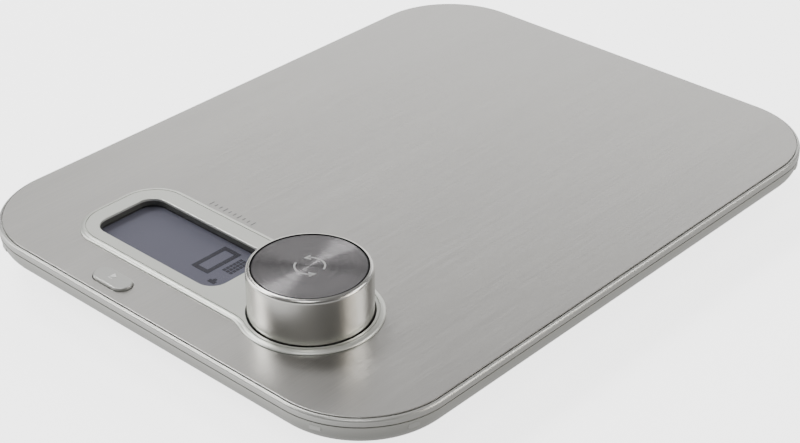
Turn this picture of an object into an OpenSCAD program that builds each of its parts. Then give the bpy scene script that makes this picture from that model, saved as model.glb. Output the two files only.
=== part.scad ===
// Flat kitchen scale that is charged by turning its knob instead of by a battery.
// The origin is the middle of the footprint, on the table top.
// +X is to the user's right, +Y is away from the user, +Z is up.

/* [Platform] */
// Width of the steel platform sheet
plate_w = 182; // [180:1:240]
// Depth of the steel platform sheet
plate_d = 240; // [210:1:300]
// Corner radius of the platform sheet
plate_r = 31; // [30:0.5:36]
// Thickness of the platform sheet
plate_t = 0.6; // [0.4:0.1:0.9]
// Thickness of the adhesive film that bonds the sheet down
adhesive_t = 0.2; // [0.1:0.05:0.3]
// Height of the platform's top face above the table
platform_h = 19.5; // [19.5:0.5:25]

/* [Casing] */
// How far the casing stands out beyond the platform sheet
rim_over = 1.4; // [1.1:0.1:2.2]
// Gap between the sheet's edge and the rim
rim_gap = 0.35; // [0.2:0.05:0.5]
// How far the rim's crest lies below the sheet's top face
rim_drop = 0.35; // [0.1:0.05:0.5]
// Rounding of the rim's outer crest
rim_round = 0.5; // [0.3:0.05:0.7]
// Thickness of the upper casing's deck
deck_t = 2.2; // [1.8:0.1:2.6]
// Wall of the lower casing
wall_t = 2; // [1.6:0.1:2.2]
// Thickness of the lower casing's floor
floor_t = 2; // [1.6:0.1:2.4]
// Radius of the lower casing's curved flank
flank_r = 9; // [8:0.5:10]
// Angle over which the flank curves before its straight slope
flank_angle = 60; // [50:1:62]
// Height of the casing's underside above the table
ground_gap = 3.5; // [3:0.1:4]
// Height of the lip that locates the two casings
lip_h = 2.5; // [1.5:0.1:3]
// Wall of the locating lip
lip_t = 1.2; // [0.8:0.1:1.6]
// Gap between the locating lip and the lower casing at its tightest
lip_clear = 0.7; // [0.6:0.05:1]

/* [Knob] */
// Distance of the knob's axis from the sheet's right edge
knob_inset_x = 56.7; // [54:0.1:62]
// Distance of the knob's axis from the sheet's front edge
knob_inset_y = 36; // [34:0.5:44]
// Outer radius of the knob
knob_r = 19.4; // [16:0.1:20]
// Height of the knob's crest above the platform
knob_h = 16.8; // [14:0.1:22]
// How far the knob's skirt reaches below the platform's top face
skirt_drop = 0.6; // [0.3:0.1:0.7]
// Wall of the knob's shell
knob_wall = 1.6; // [1.2:0.1:2]
// Rounding of the knob's crest
knob_round = 1.3; // [0.8:0.1:1.5]
// Thickness of the knob's inlaid disc
disc_t = 0.6; // [0.4:0.1:1]
// How far the inlaid disc sits below the knob's crest
disc_sink = 0.3; // [0.1:0.05:0.6]
// Groove between the inlaid disc and the shell
disc_gap = 0.25; // [0.1:0.05:0.4]
// Thickness of the shell's top web, under the disc
web_t = 2; // [1.5:0.1:3]
// Radius of the knob's shaft
shaft_r = 3; // [2.5:0.1:3.5]
// Running clearance of shafts in their bearings
run_clear = 0.04; // [0.02:0.01:0.08]

/* [Display and button] */
// Width of the display window
window_w = 57.2; // [47:0.1:58]
// Depth of the display window
window_d = 26.1; // [22:0.1:30]
// Corner radius of the display window
window_r = 6; // [4:0.5:8]
// Solid strip between the window and the knob
bridge_w = 10.5; // [9:0.1:12]
// Bezel margin beside the window
margin_x = 5.7; // [4:0.1:6]
// Bezel margin in front of and behind the window
margin_y = 5.25; // [4:0.05:6]
// Corner radius of the bezel's top face
bezel_r = 12; // [9:0.5:14]
// Height of the bezel above the platform
bezel_h = 1; // [0.6:0.1:1.4]
// How far the bezel's middle lies behind the window's middle
bezel_back = 0.9; // [0:0.1:1.2]
// Width of the bezel's sloping shoulder
shoulder_w = 1.9; // [1.2:0.1:2]
// Gap between the knob and the bezel
knob_gap = 0.3; // [0.2:0.05:0.5]
// Flat ring of the bezel round the knob's gap
collar_w = 1.2; // [0.8:0.1:2]
// Length of the tare button
button_l = 15.2; // [12:0.1:18]
// Width of the tare button
button_w = 7; // [5.5:0.1:7.5]
// Height of the tare button above the platform
button_h = 1; // [0.8:0.1:1.4]
// Distance from the button's axis to the window's middle, across the scale
button_drop = 29; // [28:0.1:31]
// How far the button lies to the right of the window's middle
button_shift = 0.6; // [0:0.1:2]
// Gap round the tare button
button_gap = 0.25; // [0.15:0.05:0.4]
// Travel of the tare button
button_travel = 0.6; // [0.4:0.1:0.6]

/* [Generator] */
// Tooth module of the knob's gear stage
module_a = 0.8; // [0.7:0.05:0.8]
// Tooth module of the rotor's gear stage
module_b = 0.6; // [0.5:0.05:0.6]
// Teeth of the drive gear on the knob's shaft
drive_teeth = 36; // [30:1:38]
// Teeth of the idler's small pinion
idler_pinion_teeth = 12; // [12:1:14]
// Teeth of the idler's large gear
idler_teeth = 42; // [38:2:44]
// Teeth of the rotor's pinion
rotor_teeth = 12; // [12:1:14]
// Play between meshing teeth
backlash = 0.15; // [0.1:0.01:0.25]
// Bearing angle from the knob's axis to the idler's axis
idler_dir = 60; // [50:1:70]
// Bearing angle from the idler's axis to the rotor's axis
rotor_dir = 25; // [15:1:40]
// Radius of the rotor magnet
magnet_r = 5; // [4:0.1:5.5]
// Air gap round the rotor magnet
air_gap = 0.4; // [0.3:0.05:0.6]
// Radial width of the stator ring
stator_w = 4; // [3:0.1:4.2]

/* [Feet] */
// Radius of the foot cups
foot_r = 10; // [8:0.5:10]
// Distance of each foot from its corner's centre, along X and along Y
foot_shift = 4.4; // [3:0.1:4.5]
// Side of the square load cells
cell_side = 17; // [14:0.5:17]
// Thickness of the load cells
cell_t = 1.2; // [1:0.1:1.6]
// Full travel of a foot
foot_travel = 0.3; // [0.2:0.05:0.4]

/* [Hidden] */
$fn = 96;

// A cut runs this far past the face it starts from
over = 1;

// Casing outline and heights
corner_x = plate_w / 2 - plate_r;
corner_y = plate_d / 2 - plate_r;
outer_r = plate_r + rim_over;
outer_w = plate_w + 2 * rim_over;
outer_d = plate_d + 2 * rim_over;
rim_z = platform_h - rim_drop;
deck_top = platform_h - plate_t - adhesive_t;
deck_bottom = deck_top - deck_t;
floor_top = ground_gap + floor_t;
flank_axis = outer_r - flank_r;
lip_r = outer_r - wall_t - lip_clear;
arc_steps = 10;

// Knob and the display group that lines up with it
knob_x = plate_w / 2 - knob_inset_x;
knob_y = -plate_d / 2 + knob_inset_y;
well_r = knob_r + knob_gap;
well_wall = 1.5;
window_x = knob_x - knob_r - bridge_w - window_w / 2;
window_y = knob_y;
tunnel_wall = 1.4;
core_sink = 0.8;
core_bottom = deck_top - core_sink;
core_clear = 0.15;
well_floor_t = 0.6;
bezel_w = window_w + 2 * margin_x;
bezel_d = window_d + 2 * margin_y;
// The shoulder's slope, as shares of its width and of the bezel's height
shoulder_steps = [[1, 0], [0.85, 0.5], [0.45, 0.88], [0, 1]];

// Display stack, from the lens down to the board
lens_lap = 2;
lens_clear = 0.2;
lens_t = 0.8;
lens_w = window_w + 2 * lens_lap;
lens_d = window_d + 2 * lens_lap;
lens_r = 2;
lcd_r = 0.5;
gasket_t = 0.2;
gasket_w = 1.5;
lcd_t = 1.8;
lens_bottom = core_bottom - lens_t;
lcd_top = lens_bottom - gasket_t;
lcd_bottom = lcd_top - lcd_t;
frame_margin = 3;
frame_t = 1.6;
frame_w = lens_w + 2 * frame_margin;
frame_d = lens_d + 2 * frame_margin;
frame_bottom = lcd_bottom - frame_t;
ear_r = 3;
ear_out = 2.4;
ear_x = 24;
strip_w = 50;
strip_d = 2.4;
strip_in = 2.4;
strip_clear = 0.2;
board_gap = 0.4;
board_t = 1.6;
board_top = frame_bottom - board_gap;
board_bottom = board_top - board_t;
board_over = 0.4;
board_w = frame_w + 2 * board_over;
board_nose = 3.7;
board_back = 6;
board_screw_r = 0.95;
board_head_r = 1.9;
board_head_h = 1.2;
pilot_deep = 1.2;
tip_in = 1;
chip_side = 10;
chip_t = 1.2;
can_r = 2.6;
can_l = 12;
can_shift = 18;

// Tare button and its switch
button_x = window_x + button_shift;
button_y = window_y - button_drop;
button_lip = 1.4;
button_lip_t = 0.9;
button_lip_clear = 0.1;
button_pocket_clear = 0.3;
stem_r = 1.5;
stem_h = 0.2;
button_lip_top = deck_bottom - button_lip_clear;
button_lip_bottom = button_lip_top - button_lip_t;
switch_side = 6;
switch_clear = 0.1;
switch_top = button_lip_bottom - button_travel - switch_clear;
plunger_r = 1.6;
plunger_clear = 0.1;
plunger_len = 1.2;
plunger_top = button_lip_bottom - stem_h;
board_front = button_y - board_nose;
board_rear = window_y + frame_d / 2 + board_back;

// Knob internals
crest_z = platform_h + knob_h;
skirt_z = platform_h - skirt_drop;
disc_top = crest_z - disc_sink;
disc_r = knob_r - knob_round - disc_gap;
hub_web = 2;
hub_clear = 0.1;
sleeve_r = 6;
sleeve_lift = 0.2;
sleeve_lap = 1;
hub_rib_l = knob_r - knob_wall - sleeve_r - sleeve_lap;
hub_top = disc_top - disc_t - web_t;
hub_rib_t = 1.4;
hub_rib_h = 5;
hub_ribs = 6;
hub_rib_lap = 0.5;
bush_r = 5;
bush_flange_r = 7;
bush_flange_t = 0.6;
well_floor_top = core_bottom + well_floor_t;
bush_top = well_floor_top + bush_flange_t;
sleeve_bottom = bush_top + sleeve_lift;
hub_rib_bottom = hub_top - hub_web - hub_rib_h;
shaft_top = hub_top - hub_web;

// Generator stack, down from the deck
plate_gap = 0.1;
cover_t = 1.1;
cover_top = deck_bottom - plate_gap;
cover_bottom = cover_top - cover_t;
gear_gap = 0.4;
stage_a_top = cover_bottom - gear_gap;
face_a = 2.4;
stage_a_bottom = stage_a_top - face_a;
stage_gap = 0.6;
stage_b_top = stage_a_bottom - stage_gap;
face_b = 2.2;
stage_b_bottom = stage_b_top - face_b;
base_t = 1.2;
base_bearing_h = 1;
base_top = stage_b_bottom - base_bearing_h - gear_gap;
base_bottom = base_top - base_t;
clip_t = 0.4;
clip_r = 4.6;
clip_depth = 0.6;
clip_gap = 0.05;
clip_top = stage_a_bottom - clip_gap;
gear_hub_r = 4.4;
gear_hub_gap = 0.1;
idler_axle_r = 1;
rotor_shaft_r = 0.75;
boss_r = 2.4;
gearbox_wall = 1.2;
gearbox_clear = 1.6;
pitch_drive = drive_teeth * module_a / 2;
pitch_idler = idler_teeth * module_b / 2;
reach_a = pitch_drive + idler_pinion_teeth * module_a / 2;
reach_b = pitch_idler + rotor_teeth * module_b / 2;
idler_x = knob_x + reach_a * cos(idler_dir);
idler_y = knob_y + reach_a * sin(idler_dir);
rotor_x = idler_x + reach_b * cos(rotor_dir);
rotor_y = idler_y + reach_b * sin(rotor_dir);
stator_r = magnet_r + air_gap + stator_w;
room_drive = pitch_drive + module_a + gearbox_clear;
room_idler = pitch_idler + module_b + gearbox_clear;
room_rotor = stator_r + gearbox_clear;
coil_wall = 0.9;
coil_clear = 0.05;
coil_sink = 0.3;
magnet_drop = 0.1;
magnet_top = stage_a_top - magnet_drop;
stator_top = stage_a_top + magnet_drop;
magnet_h = 2.4;
stator_h = 2.9;
pressure_angle = 25;
flank_steps = 5;
post_r = 3.3;
post_screw_r = 1.1;
post_head_r = 2;
post_head_h = 1;
post_out = 3.7;
function post_place(x, y, room, a) = [x + (room + post_out) * cos(a), y + (room + post_out) * sin(a)];
post_points = [
    post_place(knob_x, knob_y, room_drive, 225),
    post_place(knob_x, knob_y, room_drive, 285),
    post_place(idler_x, idler_y, room_idler, 150),
    post_place(rotor_x, rotor_y, room_rotor, 95)
];

// Case screws: one in the middle, one at the back and four beside the corners
case_screw_r = 1.45;
case_head_r = 2.8;
case_head_h = 1.4;
case_head_sink = 1.1;
case_seat = ground_gap + case_head_sink + case_head_h;
case_tip_gap = 3;
case_boss_r = 3.5;
case_pad_r = 4.5;
case_pad_h = 2;
screw_clear = 0.03;
hole_clear = 0.25;
case_side_in = 17;
case_points = [
    [0, 0], [0, plate_d / 2 - case_side_in],
    for (sx = [-1, 1], ty = [-0.2, 0.2]) [sx * (plate_w / 2 - case_side_in), ty * plate_d]
];

// Feet and load cells
foot_gap = 0.4;
flange_out = 1.2;
flange_t = 0.8;
flange_lift = 0.1;
stud_r = 2.5;
cup_wall = 0.8;
pad_r = foot_r - cup_wall;
pad_t = 2.2;
pad_recess = 1;
pad_groove = 0.5;
flange_z = floor_top + flange_lift;
holder_wall = 0.8;
flange_clear = 0.15;
holder_r = foot_r + flange_out + holder_wall;
seat_gap = 0.2;
seat_t = 0.3;
seat_w = 1.5;
seat_z = flange_z + flange_t + foot_travel + seat_gap;
cell_z = seat_z + seat_t;
cell_r = 4;
cell_clear = 0.15;
cell_slot = 1;
tongue_w = 6;
tongue_l = 11;
holder_lip = 0.6;
wire_r = 0.55;
wire_sides = 8;
wire_lift = 0.05;
wire_stub = 4;
wire_z = floor_top + wire_r + wire_lift;
lead_pitch = 2.2;
lead_dir = 130;
lead_drop = 1;
lead_z = stage_a_top - lead_drop;
notch_gap = 0.5;
solder_z = board_bottom - wire_r;

// ---- Shared shapes ----

// Flat rectangle with rounded corners, centred
module rounded_rect(w, d, r) {
    square([w - 2 * r, d], center = true);
    square([w, d - 2 * r], center = true);
    for (sx = [-1, 1], sy = [-1, 1])
        translate([sx * (w / 2 - r), sy * (d / 2 - r)])
            circle(r = r);
}

// Slab with rounded corners between two heights
module rounded_slab(w, d, r, low, high) {
    translate([0, 0, low])
        linear_extrude(high - low)
            rounded_rect(w, d, r);
}

// Block whose edge section is the child outline: x from the corner's axis, y for the height
module swept_block(w, d, r, low, high) {
    half_w = w / 2 - r;
    half_d = d / 2 - r;
    for (turn = [0, 1, 2, 3])
        translate([(turn == 0 || turn == 3 ? 1 : -1) * half_w, (turn < 2 ? 1 : -1) * half_d, 0])
            rotate([0, 0, 90 * turn])
                rotate_extrude(angle = 90)
                    children();
    for (side = [0, 180]) {
        rotate([0, 0, side])
            translate([half_w, 0, 0])
                rotate([90, 0, 0])
                    linear_extrude(2 * half_d, center = true)
                        children();
        rotate([0, 0, side + 90])
            translate([half_d, 0, 0])
                rotate([90, 0, 0])
                    linear_extrude(2 * half_w, center = true)
                        children();
    }
    translate([-half_w, -half_d, low])
        cube([2 * half_w, 2 * half_d, high - low]);
}

// Flat stadium, long along X
module stadium(l, w) {
    square([l - w, w], center = true);
    for (sx = [-1, 1])
        translate([sx * (l - w) / 2, 0])
            circle(r = w / 2);
}

module ring(r_out, r_in, low, high) {
    translate([0, 0, low])
        linear_extrude(high - low)
            difference() {
                circle(r = r_out);
                circle(r = r_in);
            }
}

module post(r, low, high) {
    translate([0, 0, low])
        cylinder(r = r, h = high - low);
}

module at_feet() {
    for (sx = [-1, 1], sy = [-1, 1])
        translate([sx * (corner_x + foot_shift), sy * (corner_y + foot_shift), 0])
            children();
}

module at_points(points) {
    for (p = points)
        translate([p[0], p[1], 0])
            children();
}

// Screw with a pan head below and a blunt end above
module screw(shank_r, head_r, head_h, seat, tip) {
    post(shank_r, seat, tip);
    difference() {
        post(head_r, seat - head_h, seat);
        for (turn = [0, 90])
            rotate([0, 0, turn])
                translate([-head_r * 0.55, -head_r * 0.12, seat - head_h - over])
                    cube([head_r * 1.1, head_r * 0.24, over + head_h * 0.5]);
    }
}

// Direction of a route at one of its points
function unit(v) = v / norm(v);
function course(points, k) =
    k == 0 ? unit(points[1] - points[0]) :
    k == len(points) - 1 ? unit(points[k] - points[k - 1]) :
    unit(unit(points[k + 1] - points[k]) + unit(points[k] - points[k - 1]));

// Wire along a list of points, none of them straight above another
module wire(points) {
    sides = wire_sides;
    count = len(points);
    rings = [
        for (k = [0 : count - 1])
            let (along = course(points, k), across = unit(cross(along, [0, 0, 1])))
                let (up = cross(across, along))
                for (side = [0 : sides - 1])
                    let (spot = polar(wire_r, 360 * side / sides))
                        points[k] + spot[0] * across + spot[1] * up
    ];
    polyhedron(rings, concat(
        [[for (side = [0 : sides - 1]) side]],
        [[for (side = [sides - 1 : -1 : 0]) (count - 1) * sides + side]],
        [for (k = [0 : count - 2], side = [0 : sides - 1]) each [
            [k * sides + side, (k + 1) * sides + side, (k + 1) * sides + (side + 1) % sides],
            [k * sides + side, (k + 1) * sides + (side + 1) % sides, k * sides + (side + 1) % sides]
        ]]
    ));
}

// Involute gear outline with a tooth centred on +X
function involute(a) = tan(a) * 180 / PI - a;
function half_tooth(r, base, half) =
    half + involute(pressure_angle) - involute(acos(min(1, base / r)));
function polar(r, a) = [r * cos(a), r * sin(a)];

module gear_outline(teeth, tooth_module) {
    pitch = teeth * tooth_module / 2;
    base = pitch * cos(pressure_angle);
    root = pitch - 1.2 * tooth_module;
    tip = pitch + tooth_module;
    half = 90 / teeth - backlash / 4 / pitch * 180 / PI;
    start = max(base, root);
    radii = [root, for (k = [0 : flank_steps]) start + (tip - start) * k / flank_steps];
    last = len(radii) - 1;
    polygon([
        for (tooth = [0 : teeth - 1]) each [
            for (k = [0 : last])
                polar(radii[k], 360 * tooth / teeth - half_tooth(max(radii[k], base), base, half)),
            for (k = [last : -1 : 0])
                polar(radii[k], 360 * tooth / teeth + half_tooth(max(radii[k], base), base, half))
        ]
    ]);
}

module gear(teeth, tooth_module, low, high) {
    translate([0, 0, low])
        linear_extrude(high - low)
            gear_outline(teeth, tooth_module);
}

// ---- Casings and platform ----

// Outline of the bezel's body where it passes through the platform and into the deck
module core_outline(grow) {
    left = window_x - window_w / 2 - tunnel_wall - grow;
    half = window_d / 2 + tunnel_wall + grow;
    corner = window_r + tunnel_wall + grow;
    translate([(left + knob_x) / 2, window_y])
        rounded_rect(knob_x - left, 2 * half, corner);
    translate([knob_x, knob_y])
        circle(r = well_r + well_wall + grow);
}

module core_cut(grow, low, high) {
    translate([0, 0, low])
        linear_extrude(high - low)
            core_outline(grow);
}

module button_cut(grow, low, high) {
    translate([button_x, button_y, low])
        linear_extrude(high - low)
            stadium(button_l + 2 * grow, button_w + 2 * grow);
}

module platform_plate() {
    color([0.71, 0.70, 0.69])
        difference() {
            rounded_slab(plate_w, plate_d, plate_r, platform_h - plate_t, platform_h);
            core_cut(core_clear, platform_h - plate_t - over, platform_h + over);
            button_cut(button_gap, platform_h - plate_t - over, platform_h + over);
        }
}

module plate_adhesive() {
    film_in = 2;
    color([0.93, 0.93, 0.88])
        difference() {
            rounded_slab(plate_w - 2 * film_in, plate_d - 2 * film_in, plate_r - film_in,
                deck_top, deck_top + adhesive_t);
            core_cut(film_in, deck_top - over, deck_top + over);
            button_cut(film_in, deck_top - over, deck_top + over);
        }
}

// Edge section of the upper casing, with its outer crest rounded
module upper_section() {
    translate([0, deck_bottom]) {
        square([outer_r, rim_z - rim_round - deck_bottom]);
        square([outer_r - rim_round, rim_z - deck_bottom]);
        translate([outer_r - rim_round, rim_z - rim_round - deck_bottom])
            circle(r = rim_round);
    }
}

// Edge section of the lower casing, set in by a wall, from a given floor height
module lower_section(inset, low) {
    r = flank_r - inset;
    end_z = deck_bottom - r * sin(flank_angle);
    foot_x = flank_axis + r * cos(flank_angle) - (end_z - low) * tan(flank_angle);
    polygon([
        [0, low],
        [foot_x, low],
        for (k = [arc_steps : -1 : 0])
            [flank_axis, deck_bottom] + polar(r, -flank_angle * k / arc_steps),
        [0, deck_bottom]
    ]);
}

module locating_lip() {
    difference() {
        rounded_slab(outer_w - 2 * (outer_r - lip_r), outer_d - 2 * (outer_r - lip_r), lip_r,
            deck_bottom - lip_h, deck_bottom);
        rounded_slab(outer_w - 2 * (outer_r - lip_r + lip_t), outer_d - 2 * (outer_r - lip_r + lip_t),
            lip_r - lip_t, deck_bottom - lip_h - over, deck_bottom);
        button_cut(button_lip + button_pocket_clear, deck_bottom - lip_h - over, deck_bottom);
    }
}

module upper_casing() {
    boss_bottom = floor_top + case_pad_h;
    color([0.74, 0.74, 0.72])
        difference() {
            union() {
                swept_block(outer_w, outer_d, outer_r, deck_bottom, rim_z)
                    upper_section();
                locating_lip();
                at_points(case_points)
                    post(case_boss_r, boss_bottom, deck_bottom);
            }
            rounded_slab(plate_w + 2 * rim_gap, plate_d + 2 * rim_gap, plate_r + rim_gap,
                deck_top, platform_h);
            core_cut(core_clear, core_bottom, platform_h);
            button_cut(button_gap, deck_bottom - over, platform_h);
            translate([window_x, window_y, 0])
                rounded_slab(lens_w + 2 * lens_clear, lens_d + 2 * lens_clear, lcd_r,
                    deck_bottom - over, platform_h);
            translate([knob_x, knob_y, 0])
                post(bush_r, deck_bottom - over, platform_h);
            at_points(case_points)
                post(case_screw_r + screw_clear, boss_bottom - over, deck_bottom - over);
            at_points(post_points)
                post(post_screw_r + screw_clear, deck_bottom - over, deck_bottom + pilot_deep);
            at_frame_ears()
                post(board_screw_r + screw_clear, deck_bottom - over, deck_bottom + pilot_deep);
        }
}

module lower_casing() {
    color([0.68, 0.68, 0.66])
        difference() {
            union() {
                difference() {
                    swept_block(outer_w, outer_d, outer_r, ground_gap, deck_bottom)
                        lower_section(0, ground_gap);
                    swept_block(outer_w, outer_d, outer_r, floor_top, deck_bottom)
                        lower_section(wall_t, floor_top);
                }
                at_points(case_points)
                    post(case_pad_r, floor_top - over, floor_top + case_pad_h);
            }
            at_feet()
                post(foot_r + foot_gap, ground_gap - over, floor_top + over);
            at_points(case_points) {
                post(case_head_r + hole_clear, ground_gap - over, case_seat);
                post(case_screw_r + hole_clear, ground_gap, floor_top + case_pad_h + over);
            }
        }
}

module case_screws() {
    color([0.62, 0.62, 0.6])
        at_points(case_points)
            screw(case_screw_r, case_head_r, case_head_h, case_seat, deck_bottom - case_tip_gap);
}

// ---- Display ----

// Edge section of the bezel from an inner radius to its top face's edge, with the shoulder outside that
module bezel_section(inner, top_r) {
    polygon([
        [inner, platform_h],
        for (s = shoulder_steps)
            [top_r + s[0] * shoulder_w, platform_h + s[1] * bezel_h],
        [inner, platform_h + bezel_h]
    ]);
}

module display_bezel() {
    left = window_x - bezel_w / 2;
    color([0.77, 0.77, 0.74])
        difference() {
            union() {
                translate([(left + knob_x) / 2, window_y + bezel_back, 0])
                    swept_block(knob_x - left, bezel_d, bezel_r, platform_h, platform_h + bezel_h)
                        bezel_section(0, bezel_r);
                translate([knob_x, knob_y, 0])
                    rotate_extrude()
                        bezel_section(well_r, well_r + collar_w);
                core_cut(0, core_bottom, platform_h);
            }
            translate([window_x, window_y, 0])
                rounded_slab(window_w, window_d, window_r, core_bottom - over, platform_h + bezel_h + over);
            translate([knob_x, knob_y, 0]) {
                post(well_r, well_floor_top, platform_h + bezel_h + over);
                post(bush_r, core_bottom - over, well_floor_top);
            }
        }
}

module window_lens() {
    color([0.85, 0.88, 0.9, 0.35])
        translate([window_x, window_y, 0])
            rounded_slab(lens_w, lens_d, lens_r, lens_bottom, core_bottom);
}

module display_gasket() {
    color([0.12, 0.12, 0.12])
        translate([window_x, window_y, 0])
            difference() {
                rounded_slab(lens_w, lens_d, lens_r, lcd_top, lens_bottom);
                rounded_slab(lens_w - 2 * gasket_w, lens_d - 2 * gasket_w, lens_r,
                    lcd_top - over, lens_bottom + over);
            }
}

module lcd_glass() {
    color([0.43, 0.44, 0.49])
        translate([window_x, window_y, 0])
            rounded_slab(lens_w, lens_d, lcd_r, lcd_bottom, lcd_top);
}

module at_frame_ears() {
    for (sx = [-1, 1], sy = [-1, 1])
        translate([window_x + sx * ear_x, window_y + sy * (frame_d / 2 + ear_out), 0])
            children();
}

// Slot behind the display's rear edge, where the contact strip stands
module strip_block(grow, low, high) {
    translate([window_x, window_y + lens_d / 2 - strip_in, (low + high) / 2])
        cube([strip_w + 2 * grow, strip_d + 2 * grow, high - low], center = true);
}

module lcd_frame() {
    color([0.9, 0.9, 0.88])
        difference() {
            union() {
                translate([window_x, window_y, 0])
                    rounded_slab(frame_w, frame_d, lens_r, frame_bottom, deck_bottom);
                at_frame_ears()
                    post(ear_r, board_top, deck_bottom);
            }
            translate([window_x, window_y, 0])
                rounded_slab(lens_w + 2 * lens_clear, lens_d + 2 * lens_clear, lcd_r,
                    lcd_bottom, deck_bottom + over);
            strip_block(strip_clear, frame_bottom - over, lcd_bottom + over);
            at_frame_ears()
                post(board_screw_r + hole_clear, board_top - over, deck_bottom + over);
        }
}

module contact_strip() {
    color([0.9, 0.55, 0.6])
        strip_block(0, board_top, lcd_bottom);
}

// ---- Board ----
module main_board() {
    color([0.1, 0.36, 0.2])
        difference() {
            translate([window_x - board_w / 2, board_front, board_bottom])
                cube([board_w, board_rear - board_front, board_t]);
            at_frame_ears()
                post(board_screw_r + hole_clear, board_bottom - over, board_top + over);
        }
}

module controller_chip() {
    color([0.08, 0.08, 0.08])
        translate([window_x - chip_side / 2, window_y - chip_side / 2, board_bottom - chip_t])
            cube([chip_side, chip_side, chip_t]);
}

module storage_capacitor() {
    color([0.13, 0.16, 0.3])
        translate([window_x + can_shift - can_l / 2, window_y, board_bottom - can_r])
            rotate([0, 90, 0])
                cylinder(r = can_r, h = can_l);
}

module board_screws() {
    color([0.7, 0.7, 0.68])
        at_frame_ears()
            screw(board_screw_r, board_head_r, board_head_h, board_bottom, deck_bottom + tip_in);
}

// ---- Tare button ----

module tare_switch() {
    color([0.15, 0.15, 0.15])
        translate([button_x, button_y, 0])
            difference() {
                translate([-switch_side / 2, -switch_side / 2, board_top])
                    cube([switch_side, switch_side, switch_top - board_top]);
                post(plunger_r + plunger_clear,
                    plunger_top - plunger_len - button_travel - switch_clear, switch_top + over);
            }
}

module switch_plunger() {
    color([0.85, 0.82, 0.75])
        translate([button_x, button_y, 0])
            post(plunger_r, plunger_top - plunger_len, plunger_top);
}

module tare_button() {
    color([0.72, 0.72, 0.7])
        translate([button_x, button_y, 0]) {
            translate([0, 0, button_lip_bottom])
                linear_extrude(platform_h + button_h - button_lip_bottom)
                    stadium(button_l, button_w);
            translate([0, 0, button_lip_bottom])
                linear_extrude(button_lip_t)
                    stadium(button_l + 2 * button_lip, button_w + 2 * button_lip);
            post(stem_r, plunger_top, button_lip_bottom);
        }
}

// ---- Knob ----

module knob_shell() {
    color([0.75, 0.75, 0.73])
        translate([knob_x, knob_y, 0])
            difference() {
                rotate_extrude() {
                    translate([0, skirt_z])
                        square([knob_r, crest_z - knob_round - skirt_z]);
                    translate([0, skirt_z])
                        square([knob_r - knob_round, crest_z - skirt_z]);
                    intersection() {
                        translate([knob_r - knob_round, crest_z - knob_round])
                            circle(r = knob_round);
                        square([knob_r, crest_z]);
                    }
                }
                post(knob_r - knob_round, disc_top - disc_t, crest_z + over);
                post(knob_r - knob_wall, skirt_z - over, hub_top);
            }
}

module knob_disc() {
    color([0.45, 0.44, 0.44])
        translate([knob_x, knob_y, 0])
            post(disc_r, disc_top - disc_t, disc_top);
}

module knob_hub() {
    color([0.1, 0.1, 0.1])
        translate([knob_x, knob_y, 0])
            difference() {
                union() {
                    post(knob_r - knob_wall - hub_clear, hub_top - hub_web, hub_top);
                    post(sleeve_r, sleeve_bottom, hub_top);
                    for (turn = [0 : 360 / hub_ribs : 359])
                        rotate([0, 0, turn])
                            translate([sleeve_r - hub_rib_lap, -hub_rib_t / 2, hub_rib_bottom])
                                cube([hub_rib_l, hub_rib_t, hub_rib_h + hub_rib_lap]);
                }
                post(shaft_r, sleeve_bottom - over, shaft_top);
            }
}

module knob_shaft() {
    color([0.7, 0.7, 0.72])
        translate([knob_x, knob_y, 0])
            difference() {
                post(shaft_r, base_bottom, shaft_top);
                ring(shaft_r + over, shaft_r - clip_depth, clip_top - clip_t, clip_top);
            }
}

module shaft_clip() {
    color([0.6, 0.6, 0.62])
        translate([knob_x, knob_y, 0])
            difference() {
                ring(clip_r, shaft_r - clip_depth, clip_top - clip_t, clip_top);
                translate([0, -shaft_r / 2, clip_top - clip_t - over])
                    cube([clip_r + over, shaft_r, clip_t + 2 * over]);
            }
}

module drive_gear() {
    color([0.93, 0.92, 0.86])
        translate([knob_x, knob_y, 0])
            difference() {
                union() {
                    rotate([0, 0, idler_dir])
                        gear(drive_teeth, module_a, stage_a_bottom, stage_a_top);
                    post(gear_hub_r, stage_a_bottom, cover_bottom - gear_hub_gap);
                }
                post(shaft_r, stage_a_bottom - over, cover_bottom + over);
            }
}

module shaft_bush() {
    color([0.8, 0.65, 0.35])
        translate([knob_x, knob_y, 0])
            difference() {
                union() {
                    post(bush_r, cover_bottom, well_floor_top);
                    post(bush_flange_r, well_floor_top, bush_top);
                }
                post(shaft_r + run_clear, cover_bottom - over, bush_top + over);
            }
}

// ---- Generator ----

module gearbox_outline(grow) {
    translate([knob_x, knob_y])
        circle(r = room_drive + grow);
    translate([idler_x, idler_y])
        circle(r = room_idler + grow);
    translate([rotor_x, rotor_y])
        circle(r = room_rotor + grow);
}

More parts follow.
